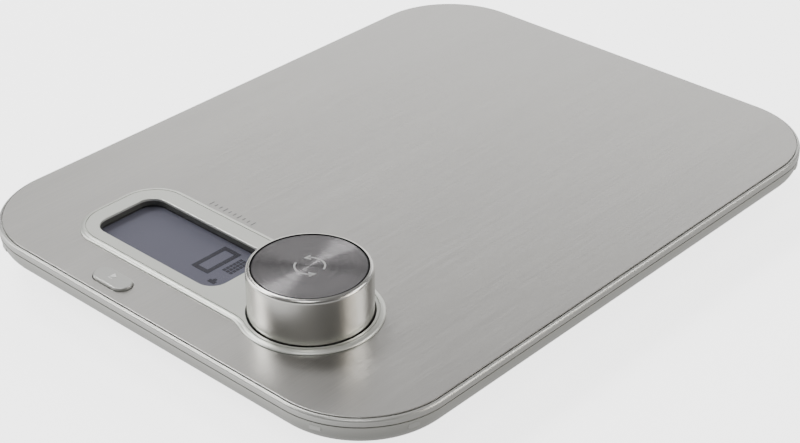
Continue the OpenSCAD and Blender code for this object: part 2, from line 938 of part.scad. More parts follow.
module gearbox_base() {
    color([0.88, 0.87, 0.83])
        difference() {
            union() {
                difference() {
                    union() {
                        translate([0, 0, base_bottom])
                            linear_extrude(cover_bottom - base_bottom)
                                gearbox_outline(gearbox_wall);
                        at_points(post_points)
                            post(post_r, base_bottom, cover_bottom);
                    }
                    translate([0, 0, base_top])
                        linear_extrude(cover_bottom - base_top + over)
                            gearbox_outline(0);
                }
                translate([knob_x, knob_y, 0])
                    post(shaft_r + gearbox_wall, base_bottom, base_top + base_bearing_h);
                translate([idler_x, idler_y, 0])
                    post(boss_r, base_bottom, base_top + base_bearing_h);
                translate([rotor_x, rotor_y, 0])
                    post(boss_r, base_bottom, base_top + base_bearing_h);
            }
            translate([knob_x, knob_y, 0])
                post(shaft_r + run_clear, base_bottom - over, cover_bottom);
            translate([idler_x, idler_y, 0])
                post(idler_axle_r, base_bottom - over, cover_bottom);
            translate([rotor_x, rotor_y, 0])
                post(rotor_shaft_r + run_clear, base_bottom - over, cover_bottom);
            at_points(post_points)
                post(post_screw_r + screw_clear, base_bottom - over, cover_bottom + over);
            wire_notch();
        }
}

// Notch in the gearbox wall for the stator's leads
module wire_notch() {
    translate([rotor_x, rotor_y, lead_z - lead_pitch])
        rotate([0, 0, lead_dir])
            translate([stator_r + notch_gap, -lead_pitch, 0])
                cube([room_rotor - stator_r + gearbox_wall + over, 2 * lead_pitch, cover_bottom]);
}

module gearbox_cover() {
    color([0.88, 0.87, 0.83])
        difference() {
            translate([0, 0, cover_bottom])
                linear_extrude(cover_t) {
                    gearbox_outline(gearbox_wall);
                    for (p = post_points)
                        translate(p)
                            circle(r = post_r);
                }
            translate([knob_x, knob_y, 0])
                post(bush_r, cover_bottom - over, cover_top + over);
            translate([idler_x, idler_y, 0])
                post(idler_axle_r, cover_bottom - over, cover_top + over);
            translate([rotor_x, rotor_y, 0])
                post(rotor_shaft_r + run_clear, cover_bottom - over, cover_top + over);
            at_points(post_points)
                post(post_screw_r + screw_clear, cover_bottom - over, cover_top + over);
        }
}

module gearbox_screws() {
    color([0.7, 0.7, 0.68])
        at_points(post_points)
            screw(post_screw_r, post_head_r, post_head_h, base_bottom, deck_bottom + tip_in);
}

module idler_axle() {
    color([0.7, 0.7, 0.72])
        translate([idler_x, idler_y, 0])
            post(idler_axle_r, base_bottom, cover_top);
}

module idler_gear() {
    color([0.93, 0.92, 0.86])
        translate([idler_x, idler_y, 0])
            difference() {
                union() {
                    rotate([0, 0, rotor_dir])
                        gear(idler_teeth, module_b, stage_b_bottom, stage_b_top);
                    rotate([0, 0, idler_dir + 180 - 180 / idler_pinion_teeth])
                        gear(idler_pinion_teeth, module_a, stage_b_top, stage_a_top);
                    post(boss_r, base_top + base_bearing_h + gear_hub_gap, cover_bottom - gear_hub_gap);
                }
                post(idler_axle_r + run_clear, base_top, cover_bottom);
            }
}

module rotor_shaft() {
    color([0.7, 0.7, 0.72])
        translate([rotor_x, rotor_y, 0])
            post(rotor_shaft_r, base_bottom, cover_top);
}

module rotor_pinion() {
    color([0.8, 0.65, 0.35])
        translate([rotor_x, rotor_y, 0])
            difference() {
                rotate([0, 0, rotor_dir + 180 - 180 / rotor_teeth])
                    gear(rotor_teeth, module_b, stage_b_bottom, stage_b_top);
                post(rotor_shaft_r, stage_b_bottom - over, stage_b_top + over);
            }
}

module rotor_magnet() {
    color([0.2, 0.2, 0.22])
        translate([rotor_x, rotor_y, 0])
            ring(magnet_r, rotor_shaft_r, magnet_top - magnet_h, magnet_top);
}

module stator_ring() {
    color([0.55, 0.56, 0.58])
        translate([rotor_x, rotor_y, 0])
            difference() {
                ring(stator_r, magnet_r + air_gap, stator_top - stator_h, stator_top);
                ring(stator_r - coil_wall, magnet_r + air_gap + coil_wall,
                    stator_top - stator_h + coil_wall, stator_top + over);
            }
}

module stator_coil() {
    color([0.72, 0.4, 0.2])
        translate([rotor_x, rotor_y, 0])
            ring(stator_r - coil_wall - coil_clear, magnet_r + air_gap + coil_wall + coil_clear,
                stator_top - stator_h + coil_wall, stator_top - coil_sink);
}

// ---- Wires ----

// Point on the gearbox side of a lead: out from the rotor's axis and to one side of the leads' middle
function lead_point(reach, side, z) = [
    rotor_x + reach * cos(lead_dir) - side * sin(lead_dir),
    rotor_y + reach * sin(lead_dir) + side * cos(lead_dir), z
];

module generator_wires() {
    board_x = window_x + board_w / 2 - 4;
    color([0.75, 0.1, 0.1])
        for (side = [-1, 1] * lead_pitch / 2)
            wire([
                lead_point(stator_r, side, lead_z),
                lead_point(room_rotor + gearbox_wall + 3, side, lead_z),
                [board_x + 14, board_rear + 8 - 2 * side, lead_z],
                [board_x + 8, board_rear + 3 - 2 * side, solder_z],
                [board_x, board_rear - 3 - 2 * side, solder_z]
            ]);
}

module load_cell_wires() {
    foot_x = corner_x + foot_shift;
    foot_y = corner_y + foot_shift;
    side_x = foot_x - holder_r * 0.6;
    rear_y = board_rear + 8;
    left_x = window_x - board_w / 2;
    right_x = window_x + board_w / 2;
    color([0.2, 0.2, 0.22]) {
        wire([
            [-foot_x, foot_y - holder_r, wire_z],
            [-foot_x, foot_y - holder_r - wire_stub, wire_z],
            [-side_x, rear_y, wire_z],
            [left_x + 18, board_rear - 2, solder_z]
        ]);
        wire([
            [foot_x, foot_y - holder_r, wire_z],
            [foot_x, foot_y - holder_r - wire_stub, wire_z],
            [side_x, rear_y + 26, wire_z],
            [right_x - 4, rear_y, wire_z],
            [right_x - 18, board_rear - 2, solder_z]
        ]);
        wire([
            [-foot_x + holder_r, -foot_y, wire_z],
            [-foot_x + holder_r + wire_stub, -foot_y, wire_z],
            [left_x + 8, window_y - 6, solder_z]
        ]);
        wire([
            [foot_x - holder_r, -foot_y, wire_z],
            [foot_x - holder_r - wire_stub, -foot_y, wire_z],
            [right_x + 4, knob_y - 4, wire_z],
            [right_x - 4, knob_y - 4, solder_z]
        ]);
    }
}

// ---- Load cells and feet ----

module load_cell_holders() {
    color([0.25, 0.25, 0.25])
        at_feet()
            difference() {
                post(holder_r, floor_top, cell_z + cell_t + holder_lip);
                post(foot_r + flange_out + flange_clear, floor_top - over, seat_z);
                post(cell_side / 2 - seat_w, floor_top, cell_z + over);
                rounded_slab(cell_side + 2 * cell_clear, cell_side + 2 * cell_clear, cell_r,
                    cell_z, cell_z + cell_t + holder_lip + over);
            }
}

// Square spring-steel plate whose middle tongue bends under the foot's stud
module load_cell(sx, sy) {
    color([0.7, 0.7, 0.68])
        translate([sx * (corner_x + foot_shift), sy * (corner_y + foot_shift), 0])
            difference() {
                rounded_slab(cell_side, cell_side, cell_r, cell_z, cell_z + cell_t);
                for (side = [-1, 1])
                    translate([side * (tongue_w + cell_slot) / 2, 0, cell_z + cell_t / 2])
                        cube([cell_slot, tongue_l, cell_t + 2 * over], center = true);
                translate([-tongue_w / 2 - cell_slot, tongue_l / 2 - cell_slot, cell_z - over])
                    cube([tongue_w + 2 * cell_slot, cell_slot, cell_t + 2 * over]);
            }
}

module foot_cup(sx, sy) {
    color([0.2, 0.2, 0.2])
        translate([sx * (corner_x + foot_shift), sy * (corner_y + foot_shift), 0])
            difference() {
                union() {
                    post(foot_r, pad_t - pad_recess, flange_z);
                    post(foot_r + flange_out, flange_z, flange_z + flange_t);
                    post(stud_r, flange_z + flange_t, cell_z);
                }
                post(pad_r, pad_t - pad_recess - over, pad_t);
            }
}

module foot_pad(sx, sy) {
    color([0.14, 0.14, 0.14])
        translate([sx * (corner_x + foot_shift), sy * (corner_y + foot_shift), 0])
            difference() {
                post(pad_r, 0, pad_t);
                ring(pad_r * 0.72, pad_r * 0.6, -over, pad_groove);
                ring(pad_r * 0.4, pad_r * 0.28, -over, pad_groove);
            }
}

platform_plate();
plate_adhesive();
upper_casing();
lower_casing();
case_screws();
display_bezel();
window_lens();
display_gasket();
lcd_glass();
lcd_frame();
contact_strip();
main_board();
controller_chip();
storage_capacitor();
board_screws();
tare_switch();
switch_plunger();
tare_button();
knob_shell();
knob_disc();
knob_hub();
knob_shaft();
shaft_clip();
drive_gear();
shaft_bush();
gearbox_base();
gearbox_cover();
gearbox_screws();
idler_axle();
idler_gear();
rotor_shaft();
rotor_pinion();
rotor_magnet();
stator_ring();
stator_coil();
generator_wires();
load_cell_wires();
load_cell_holders();
load_cell(-1, -1);  // load_cell_front_left
load_cell(1, -1);  // load_cell_front_right
load_cell(-1, 1);  // load_cell_rear_left
load_cell(1, 1);  // load_cell_rear_right
foot_cup(-1, -1);  // foot_cup_front_left
foot_cup(1, -1);  // foot_cup_front_right
foot_cup(-1, 1);  // foot_cup_rear_left
foot_cup(1, 1);  // foot_cup_rear_right
foot_pad(-1, -1);  // foot_pad_front_left
foot_pad(1, -1);  // foot_pad_front_right
foot_pad(-1, 1);  // foot_pad_rear_left
foot_pad(1, 1);  // foot_pad_rear_right
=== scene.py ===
import math

import bmesh
import bpy
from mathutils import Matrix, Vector


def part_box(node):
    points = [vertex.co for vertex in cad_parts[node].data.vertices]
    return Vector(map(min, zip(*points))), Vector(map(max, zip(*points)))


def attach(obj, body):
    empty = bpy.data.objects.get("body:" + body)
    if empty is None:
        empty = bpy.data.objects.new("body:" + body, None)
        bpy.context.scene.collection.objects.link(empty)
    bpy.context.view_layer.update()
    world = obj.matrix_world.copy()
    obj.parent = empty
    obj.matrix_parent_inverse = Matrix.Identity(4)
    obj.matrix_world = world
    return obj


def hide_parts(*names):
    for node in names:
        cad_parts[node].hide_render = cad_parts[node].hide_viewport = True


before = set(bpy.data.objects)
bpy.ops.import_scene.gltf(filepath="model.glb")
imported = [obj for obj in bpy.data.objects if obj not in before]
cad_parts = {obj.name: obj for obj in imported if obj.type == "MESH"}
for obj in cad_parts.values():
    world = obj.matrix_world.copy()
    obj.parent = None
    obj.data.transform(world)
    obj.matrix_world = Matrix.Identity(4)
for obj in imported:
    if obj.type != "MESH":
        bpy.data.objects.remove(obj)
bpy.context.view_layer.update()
print("frame loaded:", len(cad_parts), "nodes")

mm = 0.001
near = 1e-6  # heights and places closer than this count as the same
cornerSteps = 28
cornerNames = ("front_left", "front_right", "rear_left", "rear_right")


def same(first, second):
    return abs(first - second) < near


def onlySelect(*objs):
    bpy.ops.object.select_all(action="DESELECT")
    for obj in objs:
        obj.select_set(True)
    bpy.context.view_layer.objects.active = objs[0]


def named(name):
    piece = bpy.context.view_layer.objects.active
    piece.name = name
    piece.data.name = name
    onlySelect(piece)
    return piece


def addBlock(name, low, high):
    # a cube stretched between two corners, in metres
    low, high = Vector(low), Vector(high)
    bpy.ops.mesh.primitive_cube_add(size=1, location=(low + high) / 2)
    piece = named(name)
    piece.scale = high - low
    bpy.ops.object.transform_apply(location=True, rotation=True, scale=True)
    return piece


def addSlab(name, x, y, wide, deep, low, high):
    # a block about an upright axis
    return addBlock(name, (x - wide / 2, y - deep / 2, low), (x + wide / 2, y + deep / 2, high))


def addDrum(name, x, y, radius, low, high, sides=96, turn=0):
    bpy.ops.mesh.primitive_cylinder_add(
        vertices=sides, radius=radius, depth=high - low,
        location=(x, y, (low + high) / 2), rotation=(0, 0, turn))
    piece = named(name)
    bpy.ops.object.transform_apply(location=True, rotation=True, scale=True)
    return piece


def pick(piece, kind, test):
    # goes into edit mode with only the faces or edges that pass the test selected
    onlySelect(piece)
    bpy.ops.object.mode_set(mode="EDIT")
    bpy.ops.mesh.select_mode(type=kind)
    bpy.ops.mesh.select_all(action="DESELECT")
    mesh = bmesh.from_edit_mesh(piece.data)
    mesh.normal_update()
    if kind == "FACE":
        for face in mesh.faces:
            if test(face.calc_center_median(), face.normal):
                face.select_set(True)
    else:
        for edge in mesh.edges:
            if test(edge.verts[0].co, edge.verts[1].co):
                edge.select_set(True)
    mesh.select_flush_mode()
    bmesh.update_edit_mesh(piece.data)


def pickAll(piece):
    onlySelect(piece)
    bpy.ops.object.mode_set(mode="EDIT")
    bpy.ops.mesh.select_all(action="SELECT")


def backToObject():
    bpy.ops.object.mode_set(mode="OBJECT")


def upright(a, b):
    return abs(a.x - b.x) + abs(a.y - b.y) < near


def roundUprights(piece, radius, steps=cornerSteps):
    pick(piece, "EDGE", upright)
    bpy.ops.mesh.bevel(offset=radius, segments=steps, affect="EDGES", clamp_overlap=False)
    bpy.ops.mesh.remove_doubles(threshold=near)
    backToObject()


def roundLevel(piece, height, width, steps):
    # bevels the edges that lie at one height
    pick(piece, "EDGE", lambda a, b: same(a.z, height) and same(b.z, height))
    bpy.ops.mesh.bevel(offset=width, segments=steps, affect="EDGES", clamp_overlap=False)
    backToObject()


def capAt(piece, height, up=True):
    # goes into edit mode with the level faces at one height selected, those that face up or down
    pick(piece, "FACE", lambda c, n: same(c.z, height) and (n.z > 0.9 if up else n.z < -0.9))


def sinkCap(thickness, depth):
    bpy.ops.mesh.inset(thickness=thickness, depth=depth, use_even_offset=True)


def applyModifier(piece, kind, **settings):
    onlySelect(piece)
    modifier = piece.modifiers.new(kind.title(), kind)
    for key, value in settings.items():
        setattr(modifier, key, value)
    bpy.ops.object.modifier_apply(modifier=modifier.name)


def combine(piece, other, operation):
    applyModifier(piece, "BOOLEAN", operation=operation, solver="EXACT", object=other)
    bpy.data.objects.remove(other)


def joinAll(name, pieces):
    onlySelect(*pieces)
    bpy.ops.object.join()
    return named(name)


def tidyMesh(piece):
    pickAll(piece)
    bpy.ops.mesh.remove_doubles(threshold=2 * near)
    bpy.ops.mesh.dissolve_degenerate(threshold=near)
    bpy.ops.mesh.normals_make_consistent(inside=False)
    backToObject()


def finishPiece(piece, body, paint, replaced=(), smooth=32, flatten=True):
    # smooth is the angle in degrees under which an edge is shaded round
    tidyMesh(piece)
    bpy.ops.object.shade_smooth_by_angle(angle=math.radians(smooth))
    if flatten:
        # wide flats keep one normal right up to their small bevels
        applyModifier(piece, "WEIGHTED_NORMAL", keep_sharp=True, weight=100)
    piece.data.materials.clear()
    piece.data.materials.append(paint)
    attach(piece, body)
    if replaced:
        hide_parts(*replaced)


# shader tools

def plug(tree, socket, value):
    if isinstance(value, Signal):
        tree.links.new(value.socket, socket)
    else:
        socket.default_value = value


class Signal:
    def __init__(self, tree, socket):
        self.tree = tree
        self.socket = socket

    def math(self, operation, first, second, clamp=False):
        node = self.tree.nodes.new("ShaderNodeMath")
        node.operation = operation
        node.use_clamp = clamp
        plug(self.tree, node.inputs[0], first)
        plug(self.tree, node.inputs[1], second)
        return Signal(self.tree, node.outputs[0])

    def __add__(self, other):
        return self.math("ADD", self, other)

    def __sub__(self, other):
        return self.math("SUBTRACT", self, other)

    def __rsub__(self, other):
        return self.math("SUBTRACT", other, self)

    def __mul__(self, other):
        return self.math("MULTIPLY", self, other)

    def bounded(self):
        # held between 0 and 1
        return self.math("ADD", self, 0.0, clamp=True)

    __radd__ = __add__
    __rmul__ = __mul__


class Paint:
    def __init__(self, name, colour, rough, metal=0.0, **fixed):
        self.material = bpy.data.materials.new(name)
        self.material.use_nodes = True
        self.tree = self.material.node_tree
        self.shader = self.tree.nodes["Principled BSDF"]
        self.shader.inputs["Base Color"].default_value = (*colour, 1)
        self.shader.inputs["Roughness"].default_value = rough
        self.shader.inputs["Metallic"].default_value = metal
        for key, value in fixed.items():
            self.shader.inputs[key.replace("_", " ")].default_value = value

    def add(self, kind, settings=None, inputs=None, output=0):
        node = self.tree.nodes.new(kind)
        for key, value in (settings or {}).items():
            setattr(node, key, value)
        for key, value in (inputs or {}).items():
            plug(self.tree, node.inputs[key], value)
        return Signal(self.tree, node.outputs[output])

    def placed(self, centre=(0, 0, 0), scale=(1, 1, 1)):
        # object coordinates about a centre, in millimetres times scale
        place = self.add("ShaderNodeTexCoord", output="Object")
        shifted = self.add("ShaderNodeVectorMath", {"operation": "SUBTRACT"}, {0: place, 1: centre})
        return self.add("ShaderNodeVectorMath", {"operation": "MULTIPLY"},
                        {0: shifted, 1: tuple(s / mm for s in scale)})

    def height(self):
        # millimetres above the table, in the piece's own frame
        return self.add("ShaderNodeSeparateXYZ", None, {0: self.placed()}, output="Z")

    def noise(self, scale=(1, 1, 1), size=1.0, detail=3.0, rough=0.6, centre=(0, 0, 0)):
        return self.add("ShaderNodeTexNoise", {"noise_dimensions": "3D"},
                        {"Vector": self.placed(centre, scale), "Scale": size, "Detail": detail,
                         "Roughness": rough})

    def blend(self, amount, first, second):
        # a colour mix, whose factor is socket 0 and whose colours are sockets 6 and 7
        first, second = ((*c, 1) if isinstance(c, tuple) else c for c in (first, second))
        return self.add("ShaderNodeMix", {"data_type": "RGBA"}, {0: amount, 6: first, 7: second}, output=2)

    def bump(self, height, distance, strength=0.5):
        return self.add("ShaderNodeBump", None,
                        {"Height": height, "Distance": distance, "Strength": strength})

    def leaned(self, direction, amount):
        # the surface's own normal, leaned along a direction in the object's space
        lean = self.add("ShaderNodeVectorMath", {"operation": "SCALE"}, {0: direction, "Scale": amount})
        lean = self.add("ShaderNodeVectorTransform",
                        {"vector_type": "VECTOR", "convert_from": "OBJECT", "convert_to": "WORLD"},
                        {0: lean})
        upright = self.add("ShaderNodeNewGeometry", output="Normal")
        summed = self.add("ShaderNodeVectorMath", {"operation": "ADD"}, {0: upright, 1: lean})
        return self.add("ShaderNodeVectorMath", {"operation": "NORMALIZE"}, {0: summed})

    def reach(self, centre):
        # how far from an upright axis, in millimetres
        flat = self.placed(centre, (1, 1, 0))
        return self.add("ShaderNodeVectorMath", {"operation": "LENGTH"}, {0: flat}, output="Value")

    def away(self, centre):
        # the level direction away from an upright axis
        flat = self.placed(centre, (1, 1, 0))
        return self.add("ShaderNodeVectorMath", {"operation": "NORMALIZE"}, {0: flat})

    def rings(self, along, pitch):
        # random bands along a length, so many millimetres apart
        return self.add("ShaderNodeTexNoise", {"noise_dimensions": "1D"},
                        {"W": along * (1 / pitch), "Scale": 1.0, "Detail": 2.0, "Roughness": 0.6})

    def drive(self, **sources):
        for key, value in sources.items():
            plug(self.tree, self.shader.inputs[key.replace("_", " ")], value)
        return self.material


def step(value, edge, slope):
    # 0 below the edge and 1 above it, over 1 / slope of the value
    return ((value - edge) * slope + 0.5).bounded()


def lifted(colour, gain):
    return tuple(min(1.0, c * gain) for c in colour)


# camera, floor and light

cameraPlan = {
    "azimuth": 42.38,
    "elevation": 31.35,
    "distance": 0.60696,
    "target": (0.01862, -0.02689),
    "lens": 83.53,
    "sensor": 36,
    "near": 0.01,
}


def makeCamera():
    turn = math.radians(cameraPlan["azimuth"])
    tilt = math.radians(cameraPlan["elevation"])
    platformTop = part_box("platform_plate")[1].z
    target = Vector((*cameraPlan["target"], platformTop))
    back = Vector((math.sin(turn) * math.cos(tilt), -math.cos(turn) * math.cos(tilt), math.sin(tilt)))
    bpy.ops.object.camera_add(location=target + back * cameraPlan["distance"],
                              rotation=(math.pi / 2 - tilt, 0, turn))
    camera = bpy.context.active_object
    camera.name = "viewCamera"
    camera.data.lens = cameraPlan["lens"]
    camera.data.sensor_width = cameraPlan["sensor"]
    camera.data.clip_start = cameraPlan["near"]
    bpy.context.scene.camera = camera


softBoxes = {
    "key": {"place": (-1.78, 0.40, 2.45), "size": (1.0, 0.7), "power": 40},
    "backWall": {"place": (-1.12, 1.98, 0.82), "size": (2.6, 1.1), "power": 16.5},
    "overLeft": {"place": (-1.25, -1.0, 1.35), "size": (0.6, 0.6), "power": 17},
    "overFront": {"place": (0.45, -0.75, 1.65), "size": (0.6, 0.5), "power": 7},
    "backRight": {"place": (1.2, 1.5, 1.35), "size": (0.8, 0.6), "power": 13},
    "left": {"place": (-1.5, -0.75, 0.55), "size": (0.8, 0.8), "power": 9},
    "right": {"place": (1.45, 0.70, 0.55), "size": (0.6, 0.7), "power": 9, "colour": (1.0, 0.94, 0.84)},
}
roomLight = {"above": 0.22, "towardBack": 0.1, "below": 1.05, "towardFront": 0.55,
             "towardCorner": 0.25, "fall": 1.2, "horizon": 6}
floorPlan = {"size": 6, "drop": 0.05 * mm, "glow": 2.8, "grain": 0.02}


def makeRoom():
    # dim overhead and lighter behind; from below it stands in for light off the pale table
    diagonal = math.sqrt(0.5)
    world = bpy.data.worlds.new("studio")
    world.use_nodes = True
    tree = world.node_tree
    direction = tree.nodes.new("ShaderNodeSeparateXYZ")
    tree.links.new(tree.nodes.new("ShaderNodeTexCoord").outputs["Generated"], direction.inputs[0])
    x, y, z = (Signal(tree, direction.outputs[k]) for k in range(3))
    above = roomLight["above"] + (y - x) * (roomLight["towardBack"] * diagonal)
    below = roomLight["below"] - (x + y) * (roomLight["towardFront"] * diagonal)
    below = below - (x - y) * (roomLight["towardCorner"] * diagonal)
    below = below * (1 + (z + 0.5) * roomLight["fall"])
    under = (0.5 - z * roomLight["horizon"]).bounded()
    background = tree.nodes["Background"]
    background.inputs["Color"].default_value = (1, 1, 1, 1)
    plug(tree, background.inputs["Strength"], above * (1 - under) + below * under)
    bpy.context.scene.world = world


def makeStage():
    for name, plan in softBoxes.items():
        light = bpy.data.lights.new(name, "AREA")
        light.shape = "RECTANGLE"
        light.size, light.size_y = plan["size"]
        light.energy = plan["power"]
        light.color = plan.get("colour", (1, 1, 1))
        lamp = bpy.data.objects.new(name, light)
        bpy.context.scene.collection.objects.link(lamp)
        lamp.location = plan["place"]
        lamp.rotation_euler = (-Vector(plan["place"])).to_track_quat("-Z", "Y").to_euler()
    makeRoom()
    bpy.ops.mesh.primitive_plane_add(size=floorPlan["size"], location=(0, 0, -floorPlan["drop"]))
    floor = named("studioFloor")
    paint = Paint("paleFloor", (0.86, 0.86, 0.86), 0.7,
                  Emission_Color=(1, 1, 1, 1), Emission_Strength=floorPlan["glow"])
    grain = paint.noise(size=floorPlan["grain"], detail=4)
    tone = paint.blend(grain, (0.84, 0.84, 0.84), (0.88, 0.88, 0.88))
    floor.data.materials.append(paint.drive(Base_Color=tone))
    # the glowing floor lights nothing and shows in no metal
    floor.visible_diffuse = False
    floor.visible_glossy = False


makeCamera()
makeStage()
print("camera and stage set")


# finishes

def brushedSteel(name, colour=(0.47, 0.46, 0.44), rough=0.33):
    # fine scratches along Y: they lean the surface to either side and vary its tone
    paint = Paint(name, colour, rough, 1.0)
    fine = paint.noise(scale=(6.5, 0.1, 6.5), size=1.0, detail=3, rough=0.7)
    hair = paint.noise(scale=(3.5, 0.016, 3.5), size=1.0, detail=4, rough=0.75, centre=(0.3, 0, 0))
    broad = paint.noise(scale=(0.08, 0.006, 0.08), size=1.0, detail=2)
    streak = fine * 0.4 + hair * 0.45 + broad * 0.15
    return paint.drive(
        Base_Color=paint.blend((streak - 0.3) * 2.5, lifted(colour, 0.85), lifted(colour, 1.15)),
        Roughness=rough - 0.06 + streak * 0.12,
        Normal=paint.leaned((1, 0.12, 0), (fine + hair - 1.0) * 0.24))


def satinLacquer(name, colour, rough, shadeBelow=None, well=None):
    # silver lacquer on plastic: fine flake, slight orange peel; optionally painted shade, dark down the lower
    # walls and in a well
    metal, peelDepth = 0.55, 0.00001
    paint = Paint(name, colour, rough, metal, Coat_Weight=0.15, Coat_Roughness=0.25)
    flake = paint.noise(size=9.0, detail=2)
    peel = paint.noise(size=0.9, detail=2)
    soft = paint.noise(size=0.05, detail=2)
    tone = flake * 0.6 + soft * 0.4
    shade = paint.blend(tone, lifted(colour, 0.93), lifted(colour, 1.07))
    if shadeBelow is not None:
        # painted shade: below a height the colour darkens, as the shade down the window's and the well's
        # inner walls and along the foot on the sheet
        lowWallShade = 1 - step(paint.height(), shadeBelow / mm, 4)
        shade = paint.blend(lowWallShade, shade, lifted(colour, 0.16))
    if well is not None:
        # painted shade: inside the well, up to a margin in millimetres beyond its wall, the colour is made
        # nearly black, as the shade in the gap round the knob
        wellShade = 1 - step(paint.reach(well["centre"]), well["radius"] / mm + well["margin"], 8)
        shade = paint.blend(wellShade, shade, lifted(colour, 0.06))
    return paint.drive(
        Base_Color=shade,
        Roughness=rough - 0.06 + tone * 0.12,
        Normal=paint.bump(peel * 0.7 + flake * 0.3, peelDepth))


def turnedMetal(name, colour, rough, centre, pitch, shadedBetween, onFlat=0.0, onWall=0.0):
    # fine rings about an upright axis, as a lathe leaves them on a flat or round a wall;
    # the two depths say how far the rings lean the surface there
    paint = Paint(name, colour, rough, 1.0)
    reach = paint.reach(centre)
    rings = paint.rings(reach, pitch)
    mottled = paint.noise(size=0.12, detail=2, centre=centre)
    bands = paint.rings(paint.height(), pitch)
    tone = rings * 0.4 + bands * 0.4 + mottled * 0.2
    if onWall:
        normal = paint.leaned((0, 0, 1), (bands - 0.5) * onWall)
    else:
        normal = paint.leaned(paint.away(centre), (rings - 0.5) * onFlat)
    shade = paint.blend(tone, lifted(colour, 0.88), lifted(colour, 1.12))
    # painted shade: the ring between two radii is painted dark, as the shade in the gap between the disc and
    # the knob's crest
    ring = step(reach, shadedBetween[0] / mm, 20) * (1 - step(reach, shadedBetween[1] / mm, 20))
    shade = paint.blend(ring, shade, lifted(colour, 0.05))
    return paint.drive(
        Base_Color=shade,
        Roughness=rough - 0.03 + rings * 0.06,
        Normal=normal)


def mouldedPlastic(name, colour, rough=0.5, grain=0.00002, size=3.0):
    paint = Paint(name, colour, rough)
    spark = paint.noise(size=size, detail=3)
    soft = paint.noise(size=0.08, detail=2)
    tone = spark * 0.6 + soft * 0.4
    return paint.drive(
        Base_Color=paint.blend(tone, lifted(colour, 0.88), lifted(colour, 1.1)),
        Roughness=rough - 0.06 + tone * 0.12,
        Normal=paint.bump(spark, grain))


def groundMetal(name, colour, rough=0.3):
    scratchDepth = 0.00001
    paint = Paint(name, colour, rough, 1.0)
    scratch = paint.noise(scale=(1, 1, 14), size=1.5, detail=4)
    stain = paint.noise(size=0.3, detail=2)
    tone = scratch * 0.7 + stain * 0.3
    return paint.drive(
        Base_Color=paint.blend(tone, lifted(colour, 0.85), lifted(colour, 1.1)),
        Roughness=rough - 0.06 + tone * 0.14,
        Normal=paint.bump(scratch, scratchDepth))


def paintNode(name, material):
    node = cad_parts[name]
    node.data.materials.clear()
    node.data.materials.append(material)


# platform sheet

sheetPlan = {"corner": 31 * mm, "edge": 0.2 * mm, "cutClear": 0.15 * mm, "buttonGap": 0.25 * mm,
             "through": 3 * mm}
podPlan = {
    "shoulder": 1.9 * mm, "corner": 12 * mm, "collar": 20.9 * mm, "fillet": 14.3 * mm, "back": 0.9 * mm,
    "beside": 5.7 * mm, "across": 5.25 * mm, "window": (57.2 * mm, 26.1 * mm), "windowCorner": 6 * mm,
    "tunnelWall": 1.4 * mm, "wellWall": 1.5 * mm, "wellFloor": 0.6 * mm, "knobGap": 0.4 * mm,
    # the last entry on the next line is the height over the sheet below which the bezel's walls are painted
    # dark as shade
    "bushHole": 5 * mm, "coreRise": 0.3 * mm, "innerEdge": 0.22 * mm, "wallShadeEnd": 0.15 * mm,
    "turns": 7, "cornerSteps": 14, "roundSides": 128, "shoulderPart": 0.9,
    "groove": {"wide": 0.36 * mm, "deep": 0.4 * mm, "wall": 0.02 * mm},
}
buttonPlan = {
    "length": 15.2 * mm, "width": 7 * mm, "lip": 1.4 * mm, "lipHeight": 0.9 * mm, "crown": 0.45 * mm,
    "stem": 1.5 * mm, "stemShows": 0.2 * mm, "endSteps": 16,
}
sheetLow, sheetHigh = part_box("platform_plate")
bezelLow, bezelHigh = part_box("display_bezel")
knobLow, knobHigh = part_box("knob_shell")
buttonLow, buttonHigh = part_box("tare_button")
lensLow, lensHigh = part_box("window_lens")
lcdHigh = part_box("lcd_glass")[1]
rimLow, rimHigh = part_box("upper_casing")
caseLow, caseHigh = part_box("lower_casing")
knobX, knobY = (knobLow.x + knobHigh.x) / 2, (knobLow.y + knobHigh.y) / 2
knobRadius = (knobHigh.x - knobLow.x) / 2
wellRadius = knobRadius + podPlan["knobGap"]
windowX, windowY = (lensLow.x + lensHigh.x) / 2, (lensLow.y + lensHigh.y) / 2
buttonX, buttonY = (buttonLow.x + buttonHigh.x) / 2, (buttonLow.y + buttonHigh.y) / 2
halfW, halfD = podPlan["window"][0] / 2, podPlan["window"][1] / 2
sheetTop = sheetHigh.z


def coreCutter(name, grow, low, high):
    # the bezel's body under the platform: a block round the window and a drum round the knob
    wall = podPlan["tunnelWall"] + grow
    block = addBlock(name, (windowX - halfW - wall, windowY - halfD - wall, low),
                     (knobX, windowY + halfD + wall, high))
    pick(block, "EDGE", lambda a, b: upright(a, b) and a.x < windowX)
    bpy.ops.mesh.bevel(offset=podPlan["windowCorner"] + wall, segments=podPlan["cornerSteps"], affect="EDGES")
    backToObject()
    drum = addDrum("drum", knobX, knobY, wellRadius + podPlan["wellWall"] + grow, low, high,
                   podPlan["roundSides"])
    combine(block, drum, "UNION")
    return block


def stadiumBlock(name, grow, low, high):
    # the button's outline, grown all round
    length, width = buttonPlan["length"] + 2 * grow, buttonPlan["width"] + 2 * grow
    block = addSlab(name, buttonX, buttonY, length, width, low, high)
    justUnder = 0.9999  # a full half width would make the two ends' bevels meet
    roundUprights(block, width / 2 * justUnder, buttonPlan["endSteps"])
    return block


def makeSheet():
    sheet = addBlock("platformSheet", sheetLow, sheetHigh)
    roundUprights(sheet, sheetPlan["corner"])
    low, high = sheetLow.z - sheetPlan["through"], sheetTop + sheetPlan["through"]
    combine(sheet, coreCutter("cut", sheetPlan["cutClear"], low, high), "DIFFERENCE")
    combine(sheet, stadiumBlock("cut", sheetPlan["buttonGap"], low, high), "DIFFERENCE")
    roundLevel(sheet, sheetTop, sheetPlan["edge"], 2)
    finishPiece(sheet, "casing", brushedSteel("brushedSheet"), ["platform_plate"], 30)


makeSheet()
print("platform sheet made")


# upper and lower casing

